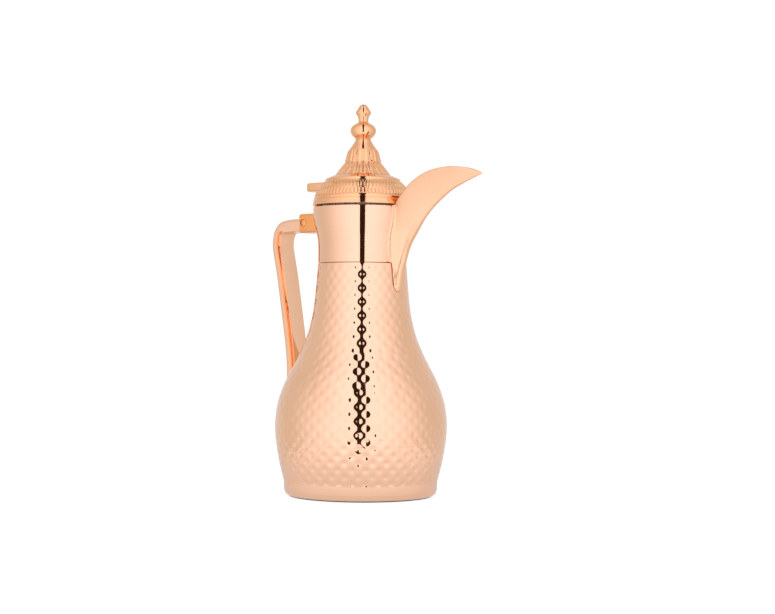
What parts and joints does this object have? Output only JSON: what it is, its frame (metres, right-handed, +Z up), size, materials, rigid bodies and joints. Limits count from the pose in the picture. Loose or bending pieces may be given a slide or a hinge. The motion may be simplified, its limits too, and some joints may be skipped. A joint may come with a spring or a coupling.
{
  "type": "dallah vacuum coffee pot",
  "caption": "Pear-shaped insulated coffee pot with a hammered shell, crescent beak, strap handle and hinged lid with a thumb lever.",
  "frame": {"origin": "centre of the bounding box's underside, on the surface the pot stands on", "axes": "+Z up; the beak points along +X and the handle along -X"},
  "size_m": [0.215, 0.1406, 0.32],
  "materials": {
    "hammered_shell": "polished",
    "polished_plating": "polished",
    "satin_plating": "satin",
    "steel": "satin",
    "black_plastic": "satin",
    "ivory_plastic": "satin",
    "silicone": "matte",
    "black_rubber": "matte",
    "foam": "matte",
    "silvered_glass": "polished"
  },
  "bodies": {
    "flask": {"outer_shell": "hammered_shell", "foot_ring": "polished_plating", "anti_slip_ring": "black_rubber", "bottom_cap": "black_plastic", "refill_cushion": "black_rubber", "outer_glass": "silvered_glass", "inner_glass": "silvered_glass", "neck_gasket": "silicone", "neck_ring": "black_plastic", "collar": "polished_plating", "spout": "satin_plating", "pouring_funnel": "ivory_plastic", "handle_bracket": "polished_plating", "bracket_screw_left": "steel", "bracket_screw_right": "steel", "handle_strap": "polished_plating", "handle_insert": "polished_plating", "handle_cross_pin": "polished_plating", "handle_foot_pad": "black_rubber", "handle_lower_screw": "steel", "handle_lower_washer": "steel", "hinge_pin": "steel", "hinge_spring": "steel"},
    "lid": {"lid_cover": "polished_plating", "finial": "polished_plating", "finial_screw": "steel", "thumb_lever": "polished_plating", "lever_screw": "steel", "lid_liner": "ivory_plastic", "liner_screw_1": "steel", "liner_screw_2": "steel", "liner_screw_3": "steel", "lid_insulation": "foam", "stopper_seal": "silicone", "seal_retainer": "ivory_plastic"}
  },
  "joints": [
    {"name": "lid_hinge", "type": "hinge", "parent": "flask", "child": "lid", "pos_m": [-0.05692, 0, 0.2415], "axis": [0, -1, 0], "range_deg": [0, 60], "stiffness_Nm_per_rad": 0.02, "springref_deg": -57.3, "deforming": ["hinge_spring"]}
  ]
}
